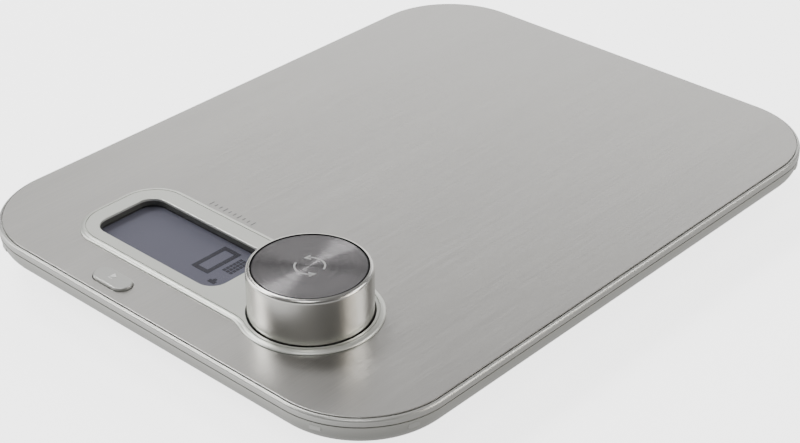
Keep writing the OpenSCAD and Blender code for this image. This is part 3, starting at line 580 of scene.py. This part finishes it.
rimPlan = {
    "corner": 32.4 * mm, "crest": 1.0 * mm, "land": 1.05 * mm, "draft": 0.05 * mm, "underSheet": 0.2 * mm,
    "seam": 0.45 * mm, "seamDeep": 0.6 * mm,
    "lipInset": 2.7 * mm, "lipWall": 1.2 * mm, "lipDrop": 2.5 * mm, "lipSlack": 0.1 * mm,
    "bossRadius": 3.5 * mm, "bossRise": 0.6 * mm, "pilot": 1.48 * mm,
    "buttonPocket": 0.3 * mm, "lensGap": 0.2 * mm,
}
casePlan = {
    "corner": 32.4 * mm, "flank": 9 * mm, "sweep": 60, "steps": 12, "wall": 2 * mm,
    "floorEdge": 0.8 * mm, "footHole": 10.4 * mm, "headHole": 3.05 * mm, "headDeep": 2.5 * mm,
    "screwHole": 1.7 * mm, "screwHead": 2.8 * mm, "screwAlong": 0.2,
    "padRadius": 4.5 * mm, "padHeight": 2 * mm, "padRoot": 0.5 * mm, "seatLap": 0.2 * mm,
}
splitZ = caseHigh.z


def screwPlaces():
    # the case screws' axes: one in the middle, one at the rear and two along each side
    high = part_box("case_screws")[1]
    side, rear = high.x - casePlan["screwHead"], high.y - casePlan["screwHead"]
    along = casePlan["screwAlong"] * (sheetHigh.y - sheetLow.y)
    return [(0, 0), (0, rear)] + [(sx * side, sy * along) for sx in (-1, 1) for sy in (-1, 1)]


def footPlaces():
    places = []
    for corner in cornerNames:
        low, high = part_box("foot_pad_" + corner)
        places.append(((low.x + high.x) / 2, (low.y + high.y) / 2))
    return places


def seamCutter():
    # the dark parting slot that runs round the casing just above the split
    deep, top = rimPlan["seamDeep"], splitZ + rimPlan["seam"]
    ring = addBlock("cut", (rimLow.x - mm, rimLow.y - mm, splitZ - mm),
                    (rimHigh.x + mm, rimHigh.y + mm, top))
    core = addBlock("core", (rimLow.x + deep, rimLow.y + deep, splitZ - 2 * mm),
                    (rimHigh.x - deep, rimHigh.y - deep, top + mm))
    roundUprights(core, rimPlan["corner"] - deep)
    combine(ring, core, "DIFFERENCE")
    return ring


def makeRim():
    rim = addBlock("rimCasing", (rimLow.x, rimLow.y, splitZ), (rimHigh.x, rimHigh.y, rimHigh.z))
    roundUprights(rim, rimPlan["corner"])
    roundLevel(rim, rimHigh.z, rimPlan["crest"], 7)
    deckZ = sheetLow.z - rimPlan["underSheet"]
    capAt(rim, rimHigh.z)
    sinkCap(rimPlan["land"] - rimPlan["crest"], 0)
    bpy.ops.mesh.inset(thickness=rimPlan["draft"], depth=deckZ - rimHigh.z)
    backToObject()
    capAt(rim, splitZ, up=False)
    sinkCap(rimPlan["lipInset"], 0)
    backToObject()
    # the locating lip: a ring of the underside pulled down
    pick(rim, "FACE", lambda c, n: n.z < -0.9 and same(c.z, splitZ) and abs(c.x) < mm and abs(c.y) < mm)
    sinkCap(rimPlan["lipWall"], 0)
    backToObject()
    pick(rim, "FACE", lambda c, n: n.z < -0.9 and same(c.z, splitZ) and onLip(c))
    bpy.ops.mesh.extrude_region_move(TRANSFORM_OT_translate={"value": (0, 0, -rimPlan["lipDrop"])})
    backToObject()
    tidyMesh(rim)
    bossLow, bossHigh = caseLow.z + casePlan["wall"] + casePlan["padHeight"], splitZ + rimPlan["bossRise"]
    for x, y in screwPlaces():
        combine(rim, addDrum("boss", x, y, rimPlan["bossRadius"], bossLow, bossHigh, 32), "UNION")
        combine(rim, addDrum("hole", x, y, rimPlan["pilot"], bossLow - mm, splitZ - mm, 24), "DIFFERENCE")
    combine(rim, seamCutter(), "DIFFERENCE")
    deckTop = rimHigh.z + mm
    combine(rim, coreCutter("cut", sheetPlan["cutClear"], bezelLow.z, deckTop), "DIFFERENCE")
    combine(rim, stadiumBlock("cut", sheetPlan["buttonGap"], splitZ - mm, deckTop), "DIFFERENCE")
    pocket = buttonPlan["lip"] + rimPlan["buttonPocket"]
    combine(rim, stadiumBlock("cut", pocket, splitZ - rimPlan["lipDrop"] - mm, splitZ), "DIFFERENCE")
    gap = rimPlan["lensGap"]
    hatch = addBlock("cut", (lensLow.x - gap, lensLow.y - gap, splitZ - mm),
                     (lensHigh.x + gap, lensHigh.y + gap, deckTop))
    combine(rim, hatch, "DIFFERENCE")
    combine(rim, addDrum("cut", knobX, knobY, podPlan["bushHole"], splitZ - mm, deckTop, 64), "DIFFERENCE")
    lacquer = satinLacquer("rimSilver", (0.50, 0.50, 0.475), 0.33)
    finishPiece(rim, "casing", lacquer, ["upper_casing"], 30)


def onLip(spot):
    # in the ring that becomes the lip: along its straight sides, or between the arcs of a corner
    wall, slack = rimPlan["lipWall"], rimPlan["lipSlack"]
    halfX, halfY = -rimLow.x - rimPlan["lipInset"], -rimLow.y - rimPlan["lipInset"]
    x, y = abs(spot.x), abs(spot.y)
    if x > halfX + near or y > halfY + near:
        return False
    if x > halfX - wall - near or y > halfY - wall - near:
        return True
    radius = rimPlan["corner"] - rimPlan["lipInset"]
    inX, inY = x - halfX + radius, y - halfY + radius
    return min(inX, inY) >= 0 and radius - wall - slack < math.hypot(inX, inY) < radius + slack


def makeLowerCasing():
    # an upside-down tray: the flat face sinks along the flank's arc, then down the slope to the floor
    centre = (caseLow + caseHigh) / 2
    bpy.ops.mesh.primitive_plane_add(size=1, location=(centre.x, centre.y, splitZ))
    case = named("lowerCasing")
    case.scale = (caseHigh.x - caseLow.x, caseHigh.y - caseLow.y, 1)
    bpy.ops.object.transform_apply(location=True, rotation=True, scale=True)
    pickAll(case)
    bpy.ops.mesh.flip_normals()
    bpy.ops.mesh.bevel(offset=casePlan["corner"], segments=cornerSteps, affect="VERTICES")
    backToObject()
    pick(case, "FACE", lambda c, n: True)
    sweep = math.radians(casePlan["sweep"])
    flank = casePlan["flank"]
    for k in range(casePlan["steps"]):
        a = sweep * k / casePlan["steps"]
        b = sweep * (k + 1) / casePlan["steps"]
        sinkCap(flank * (math.cos(a) - math.cos(b)), flank * (math.sin(b) - math.sin(a)))
    drop = splitZ - flank * math.sin(sweep) - caseLow.z
    sinkCap(drop * math.tan(sweep), drop)
    backToObject()
    roundLevel(case, caseLow.z, casePlan["floorEdge"], 3)
    applyModifier(case, "SOLIDIFY", thickness=casePlan["wall"], offset=-1, use_even_offset=True)
    floorZ = caseLow.z + casePlan["wall"]
    for x, y in screwPlaces():
        pad = addDrum("pad", x, y, casePlan["padRadius"], floorZ - casePlan["padRoot"],
                      floorZ + casePlan["padHeight"], 32)
        combine(case, pad, "UNION")
    holes = [(x, y, casePlan["footHole"], caseLow.z - mm, floorZ + mm, 64) for x, y in footPlaces()]
    seat = caseLow.z + casePlan["headDeep"]
    for x, y in screwPlaces():
        holes.append((x, y, casePlan["headHole"], caseLow.z - mm, seat, 32))
        low, high = seat - casePlan["seatLap"], floorZ + casePlan["padHeight"] + mm
        holes.append((x, y, casePlan["screwHole"], low, high, 24))
    for hole in holes:
        combine(case, addDrum("hole", *hole), "DIFFERENCE")
    lacquer = satinLacquer("casingSilver", (0.48, 0.48, 0.45), 0.38)
    finishPiece(case, "casing", lacquer, ["lower_casing"], 30, flatten=False)


makeRim()
makeLowerCasing()
print("casings made")


# bezel

def arc(x, y, radius, first, last, steps):
    # points round part of a circle, from one angle in degrees to another
    angles = [math.radians(first + (last - first) * k / steps) for k in range(steps + 1)]
    return [(x + radius * math.cos(angle), y + radius * math.sin(angle)) for angle in angles]


def podOutline():
    # the foot of the bezel's shoulder, counter-clockwise; the collar runs round the knob and
    # meets the straight sides in two hollow blends
    wide = podPlan["shoulder"]
    half = halfD + podPlan["across"]
    corner, collar = podPlan["corner"] + wide, podPlan["collar"] + wide
    fillet = podPlan["fillet"] - wide
    y = windowY + podPlan["back"]
    cornerX = windowX - halfW - podPlan["beside"] + podPlan["corner"]
    blends = {}
    for side in (-1, 1):
        across = podPlan["back"] + side * (half + podPlan["fillet"])
        along = math.sqrt((podPlan["collar"] + podPlan["fillet"]) ** 2 - across ** 2)
        blends[side] = (knobX - along, knobY + across, math.degrees(math.atan2(abs(across), along)))
    frontX, frontY, frontLean = blends[-1]
    rearX, rearY, rearLean = blends[1]
    points = arc(cornerX, y - half + podPlan["corner"], corner, 180, 270, 16)
    points += arc(frontX, frontY, fillet, 90, frontLean, 10)
    points += arc(knobX, knobY, collar, -180 + frontLean, 180 - rearLean, 96)[1:-1]
    points += arc(rearX, rearY, fillet, -rearLean, -90, 10)
    points += arc(cornerX, y + half - podPlan["corner"], corner, 90, 180, 16)
    return points


def makeBezel():
    height = bezelHigh.z - sheetTop
    shoulderPart, turns, groove = podPlan["shoulderPart"], podPlan["turns"], podPlan["groove"]
    outline = podOutline()
    mesh = bpy.data.meshes.new("bezel")
    mesh.from_pydata([(x, y, sheetTop) for x, y in outline], [], [list(range(len(outline)))])
    piece = bpy.data.objects.new("bezel", mesh)
    bpy.context.scene.collection.objects.link(piece)
    onlySelect(piece)
    # up a short wall, then round the shoulder in rings to the flat top
    pick(piece, "FACE", lambda c, n: True)
    wall = (1 - shoulderPart) * height
    bpy.ops.mesh.extrude_region_move(TRANSFORM_OT_translate={"value": (0, 0, wall)})
    rise, run = shoulderPart * height, shoulderPart * podPlan["shoulder"]
    for k in range(turns):
        a, b = math.pi / 2 * k / turns, math.pi / 2 * (k + 1) / turns
        sinkCap(run * (math.cos(a) - math.cos(b)), rise * (math.sin(b) - math.sin(a)))
    # a fine line between the shoulder and the flat top
    sinkCap(groove["wall"], -groove["deep"])
    sinkCap(groove["wide"], 0)
    sinkCap(groove["wall"], groove["deep"])
    backToObject()
    combine(piece, coreCutter("core", 0, bezelLow.z, sheetTop + podPlan["coreRise"]), "UNION")
    low, high = bezelLow.z - mm, bezelHigh.z + mm
    window = addSlab("cut", windowX, windowY, *podPlan["window"], low, high)
    roundUprights(window, podPlan["windowCorner"], podPlan["cornerSteps"])
    combine(piece, window, "DIFFERENCE")
    wellFloor = bezelLow.z + podPlan["wellFloor"]
    well = addDrum("cut", knobX, knobY, wellRadius, wellFloor, high, podPlan["roundSides"])
    combine(piece, well, "DIFFERENCE")
    combine(piece, addDrum("cut", knobX, knobY, podPlan["bushHole"], low, high, 64), "DIFFERENCE")
    tidyMesh(piece)

    def onInnerEdge(a, b):
        # on the top edge of the well or of the window
        if not (same(a.z, bezelHigh.z) and same(b.z, bezelHigh.z)):
            return False
        spot, slack = (a + b) / 2, 0.1 * mm
        onWell = math.hypot(spot.x - knobX, spot.y - knobY) < wellRadius + slack
        onWindow = abs(spot.x - windowX) < halfW + slack and abs(spot.y - windowY) < halfD + slack
        return onWell or onWindow

    pick(piece, "EDGE", onInnerEdge)
    bpy.ops.mesh.bevel(offset=podPlan["innerEdge"], segments=3, affect="EDGES", clamp_overlap=False)
    backToObject()
    # the bezel is painted dark as shade down its inner walls and in the knob's well
    lacquer = satinLacquer("bezelSilver", (0.63, 0.64, 0.595), 0.32,
                           shadeBelow=sheetTop + podPlan["wallShadeEnd"],
                           well={"centre": (knobX, knobY, 0), "radius": wellRadius, "margin": 0.125})
    finishPiece(piece, "casing", lacquer, ["display_bezel"], 28)


makeBezel()
print("bezel made")


# knob

knobPlan = {
    "wall": 1.6 * mm, "crest": 1.3 * mm, "foot": 0.3 * mm, "web": 2.9 * mm, "recess": 0.9 * mm,
    "ledge": 0.03 * mm, "draft": 0.02 * mm, "sides": 192,
    "discEdge": 0.12 * mm, "discTrim": 0.1 * mm, "discLift": 0.15 * mm, "discShadeBand": 0.32 * mm,
}


def makeKnob():
    shell = addDrum("knobShell", knobX, knobY, knobRadius, knobLow.z, knobHigh.z, knobPlan["sides"])
    roundLevel(shell, knobHigh.z, knobPlan["crest"], 8)
    roundLevel(shell, knobLow.z, knobPlan["foot"], 2)
    capAt(shell, knobHigh.z)
    bpy.ops.mesh.inset(thickness=knobPlan["ledge"], depth=0)
    bpy.ops.mesh.inset(thickness=knobPlan["draft"], depth=-knobPlan["recess"])
    backToObject()
    capAt(shell, knobLow.z, up=False)
    bpy.ops.mesh.inset(thickness=knobPlan["wall"] - knobPlan["foot"], depth=0)
    bpy.ops.mesh.inset(thickness=knobPlan["draft"], depth=knobLow.z + knobPlan["web"] - knobHigh.z)
    backToObject()
    centre = (knobX, knobY, 0)
    # the shell inside its crest is painted dark, as painted shade in the gap round the disc
    metal = turnedMetal("knobAluminium", (0.60, 0.59, 0.56), 0.25, centre, 0.05,
                        (0, knobRadius - knobPlan["crest"]), onWall=0.3)
    finishPiece(shell, "knob", metal, ["knob_shell"], 25)
    discLow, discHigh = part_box("knob_disc")
    discRadius = (discHigh.x - discLow.x) / 2 - knobPlan["discTrim"]
    discTop = discHigh.z + knobPlan["discLift"]
    disc = addDrum("knobDisc", knobX, knobY, discRadius, discLow.z, discTop, knobPlan["sides"])
    roundLevel(disc, discTop, knobPlan["discEdge"], 2)
    # the disc's outer band is painted dark, as painted shade under the knob's crest
    spun = turnedMetal("spunDisc", (0.165, 0.158, 0.162), 0.15, centre, 0.03,
                       (discRadius - knobPlan["discShadeBand"], knobRadius), onFlat=1.6)
    finishPiece(disc, "knob", spun, ["knob_disc"], 25)


def makeTurnMark():
    # a pair of curved arrows on the disc, as a plain sign for turning
    plan = {"starts": (20, 200), "sweep": 120, "radius": 4.6 * mm, "stroke": 0.55 * mm,
            "head": 1.5 * mm, "proud": 0.04 * mm}
    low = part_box("knob_disc")[1].z + knobPlan["discLift"]
    high = low + plan["proud"]
    outer, inner = plan["radius"] + plan["stroke"] / 2, plan["radius"] - plan["stroke"] / 2
    made = []
    for start in plan["starts"]:
        band = addDrum("arrowBand", knobX, knobY, outer, low, high)
        combine(band, addDrum("cut", knobX, knobY, inner, low - mm, low + mm), "DIFFERENCE")
        first, last = math.radians(start), math.radians(start + plan["sweep"])
        for angle, side in ((first, 1), (last, -1)):
            pickAll(band)
            normal = (-math.sin(angle) * side, math.cos(angle) * side, 0)
            bpy.ops.mesh.bisect(plane_co=(knobX, knobY, low), plane_no=normal,
                                clear_inner=True, use_fill=True)
            backToObject()
        headX = knobX + plan["radius"] * math.cos(last)
        headY = knobY + plan["radius"] * math.sin(last)
        made += [band, addDrum("arrowHead", headX, headY, plan["head"], low, high, 3, last)]
    mark = joinAll("turnMark", made)
    finishPiece(mark, "knob", mouldedPlastic("markGrey", (0.42, 0.42, 0.42), 0.4))


makeKnob()
makeTurnMark()
print("knob made")


# tare button

def makeButton():
    keyLow = buttonLow.z + buttonPlan["stemShows"]
    key = stadiumBlock("tareKey", 0, keyLow, buttonHigh.z)
    roundLevel(key, buttonHigh.z, buttonPlan["crown"], 4)
    combine(key, stadiumBlock("lip", buttonPlan["lip"], keyLow, keyLow + buttonPlan["lipHeight"]), "UNION")
    stem = addDrum("stem", buttonX, buttonY, buttonPlan["stem"], buttonLow.z, buttonLow.z + mm, 32)
    combine(key, stem, "UNION")
    lacquer = satinLacquer("buttonSilver", (0.46, 0.46, 0.44), 0.34)
    finishPiece(key, "button", lacquer, ["tare_button"], 30)


def makeButtonMark():
    # a plain triangle over a bar, both let into the key's top
    plan = {"x": buttonX - 0.6 * mm, "triangleY": buttonY + 0.9 * mm, "size": 1.45 * mm,
            "thick": 0.14 * mm, "edge": 0.04 * mm, "turn": math.pi / 6,
            "barY": buttonY - 0.6 * mm, "barWide": 1.8 * mm, "barDeep": 0.3 * mm,
            "barLow": 0.03 * mm, "barHigh": 0.05 * mm}
    low = buttonHigh.z - plan["thick"] / 4
    mark = addDrum("buttonMark", plan["x"], plan["triangleY"], plan["size"], low, low + plan["thick"],
                   3, plan["turn"])
    pickAll(mark)
    bpy.ops.mesh.bevel(offset=plan["edge"], segments=2, affect="EDGES")
    backToObject()
    bar = addSlab("bar", plan["x"], plan["barY"], plan["barWide"], plan["barDeep"],
                  buttonHigh.z - plan["barLow"], buttonHigh.z + plan["barHigh"])
    finishPiece(joinAll("buttonMark", [mark, bar]), "button",
                mouldedPlastic("markWhite", (0.8, 0.8, 0.78), 0.4))


makeButton()
makeButtonMark()
print("button made")


# display

lcdPlan = {
    "proud": 0.05 * mm,
    "digit": {"x": -11.6 * mm, "y": -80.6 * mm, "wide": 7.7 * mm, "tall": 15.0 * mm,
              "stroke": 1.75 * mm, "gap": 0.12 * mm},
    "block": {"x": -4.0 * mm, "y": -79.2 * mm, "cell": 1.2 * mm, "columns": 3, "rows": 6,
              "across": 1.488 * mm, "along": 1.44 * mm},
    "weight": {"x": -3.4 * mm, "y": -90.1 * mm, "wide": 3.0 * mm, "deep": 1.6 * mm,
               "knobY": -88.8 * mm, "knobRadius": 0.7 * mm},
}


def makeSegments():
    # the dark segments of one digit, a block icon and a weight icon
    low, high = lcdHigh.z, lcdHigh.z + lcdPlan["proud"]
    digit, block, weight = lcdPlan["digit"], lcdPlan["block"], lcdPlan["weight"]
    tall, wide, stroke, gap = digit["tall"], digit["wide"], digit["stroke"], digit["gap"]
    slabs = []
    for side in (-1, 1):
        slabs.append((digit["x"], digit["y"] + side * (tall - stroke) / 2, wide - 2 * stroke - gap, stroke))
        for level in (-1, 1):
            slabs.append((digit["x"] + side * (wide - stroke) / 2, digit["y"] + level * tall / 4,
                          stroke, tall / 2 - gap))
    for column in range(block["columns"]):
        for row in range(block["rows"]):
            slabs.append((block["x"] + (column - (block["columns"] - 1) / 2) * block["across"],
                          block["y"] + (row - (block["rows"] - 1) / 2) * block["along"],
                          block["cell"], block["cell"]))
    slabs.append((weight["x"], weight["y"], weight["wide"], weight["deep"]))
    pieces = [addSlab("bar", *slab, low, high) for slab in slabs]
    pieces.append(addDrum("weight", weight["x"], weight["knobY"], weight["knobRadius"], low, high, 20))
    ink = mouldedPlastic("segmentInk", (0.018, 0.017, 0.028), 0.7)
    finishPiece(joinAll("displaySegments", pieces), "casing", ink)


def makeDisplay():
    makeSegments()
    paint = Paint("displayGrey", (0.24, 0.24, 0.31), 0.5, Specular_IOR_Level=0.1)
    cloud = paint.noise(size=0.03, detail=2)
    dust = paint.noise(size=6.0, detail=2)
    tone = cloud * 0.8 + dust * 0.2
    paintNode("lcd_glass", paint.drive(
        Base_Color=paint.blend(tone, (0.135, 0.135, 0.175), (0.165, 0.165, 0.215)),
        Normal=paint.bump(dust, 0.000004, 0.4)))
    lens = Paint("clearLens", (0.1, 0.1, 0.12), 0.1, Alpha=0.1, Specular_IOR_Level=0.3)
    smear = lens.noise(size=0.08, detail=3)
    paintNode("window_lens", lens.drive(Roughness=0.05 + smear * 0.1))


def makeTicks():
    # a short scale of plain ticks behind the bezel
    plan = {"first": -35.5 * mm, "pitch": 2.2 * mm, "count": 10, "y": -60.3 * mm, "wide": 0.52 * mm,
            "long": 2.3 * mm, "short": 1.5 * mm, "longEvery": 3, "root": 0.01 * mm, "proud": 0.015 * mm}
    ticks = []
    for k in range(plan["count"]):
        length = plan["short"] if k % plan["longEvery"] else plan["long"]
        ticks.append(addSlab("tick", plan["first"] + k * plan["pitch"], plan["y"], plan["wide"], length,
                             sheetTop - plan["root"], sheetTop + plan["proud"]))
    finishPiece(joinAll("scaleTicks", ticks), "casing",
                mouldedPlastic("tickGrey", (0.16, 0.16, 0.16), 0.5))


makeDisplay()
makeTicks()
print("display made")


# finishes of the pieces carried over from the CAD

def paintInside():
    steel = groundMetal("screwSteel", (0.55, 0.55, 0.55))
    shaft = groundMetal("shaftSteel", (0.62, 0.62, 0.63), 0.22)
    brass = groundMetal("bushBrass", (0.72, 0.53, 0.24), 0.28)
    white = mouldedPlastic("whitePlastic", (0.78, 0.77, 0.73), 0.5)
    nylon = mouldedPlastic("naturalNylon", (0.80, 0.77, 0.68), 0.42, 0.00001, 1.5)
    black = mouldedPlastic("blackPlastic", (0.035, 0.035, 0.035), 0.45)
    rubber = mouldedPlastic("padRubber", (0.045, 0.045, 0.045), 0.85, 0.00006, 6.0)
    finishes = {
        steel: ["case_screws", "board_screws", "gearbox_screws"],
        shaft: ["knob_shaft", "shaft_clip", "idler_axle", "rotor_shaft"],
        brass: ["shaft_bush", "rotor_pinion"],
        white: ["lcd_frame", "gearbox_base", "gearbox_cover"],
        nylon: ["drive_gear", "idler_gear", "switch_plunger"],
        black: ["knob_hub", "load_cell_holders", "tare_switch", "controller_chip"],
        rubber: ["display_gasket"],
        mouldedPlastic("adhesiveFilm", (0.75, 0.75, 0.68), 0.35): ["plate_adhesive"],
        mouldedPlastic("contactRubber", (0.72, 0.36, 0.40), 0.7): ["contact_strip"],
        mouldedPlastic("boardGreen", (0.03, 0.16, 0.07), 0.3): ["main_board"],
        mouldedPlastic("canBlue", (0.05, 0.07, 0.2), 0.3): ["storage_capacitor"],
        groundMetal("magnetGrey", (0.16, 0.16, 0.17), 0.45): ["rotor_magnet"],
        groundMetal("statorIron", (0.42, 0.43, 0.45), 0.4): ["stator_ring"],
        groundMetal("coilCopper", (0.66, 0.30, 0.12), 0.3): ["stator_coil"],
        mouldedPlastic("leadRed", (0.45, 0.03, 0.02), 0.5): ["generator_wires"],
        mouldedPlastic("leadGrey", (0.1, 0.1, 0.11), 0.5): ["load_cell_wires"],
    }
    cells = groundMetal("cellSteel", (0.6, 0.6, 0.59), 0.3)
    for material, names in finishes.items():
        for name in names:
            paintNode(name, material)
    for corner in cornerNames:
        paintNode("load_cell_" + corner, cells)
        paintNode("foot_cup_" + corner, black)
        paintNode("foot_pad_" + corner, rubber)


paintInside()
print("inner finishes set")
